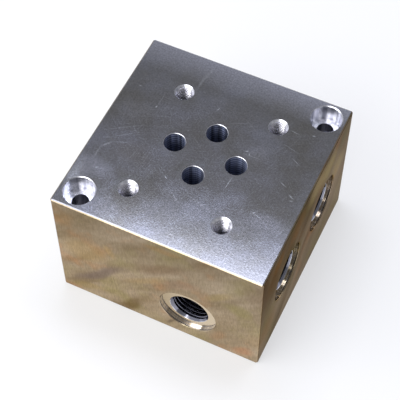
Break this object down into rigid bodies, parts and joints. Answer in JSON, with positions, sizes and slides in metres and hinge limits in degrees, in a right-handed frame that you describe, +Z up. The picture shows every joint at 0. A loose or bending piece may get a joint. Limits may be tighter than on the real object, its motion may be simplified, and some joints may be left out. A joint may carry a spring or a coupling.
{
  "type": "hydraulic manifold block",
  "caption": "Machined manifold block that carries a directional valve on its top face and joins its oil bores to threaded line ports on the side faces.",
  "frame": {"origin": "centre of the underside", "axes": "+Z up to the valve face, -Y towards the tank port, +X towards the two work ports"},
  "size_m": [0.07, 0.07, 0.05],
  "materials": {
    "machined_aluminium": "machined and lightly scratched, with a warm tan tint on the side faces"
  },
  "bodies": {
    "root": {"manifold_block": "machined_aluminium"}
  },
  "joints": []
}
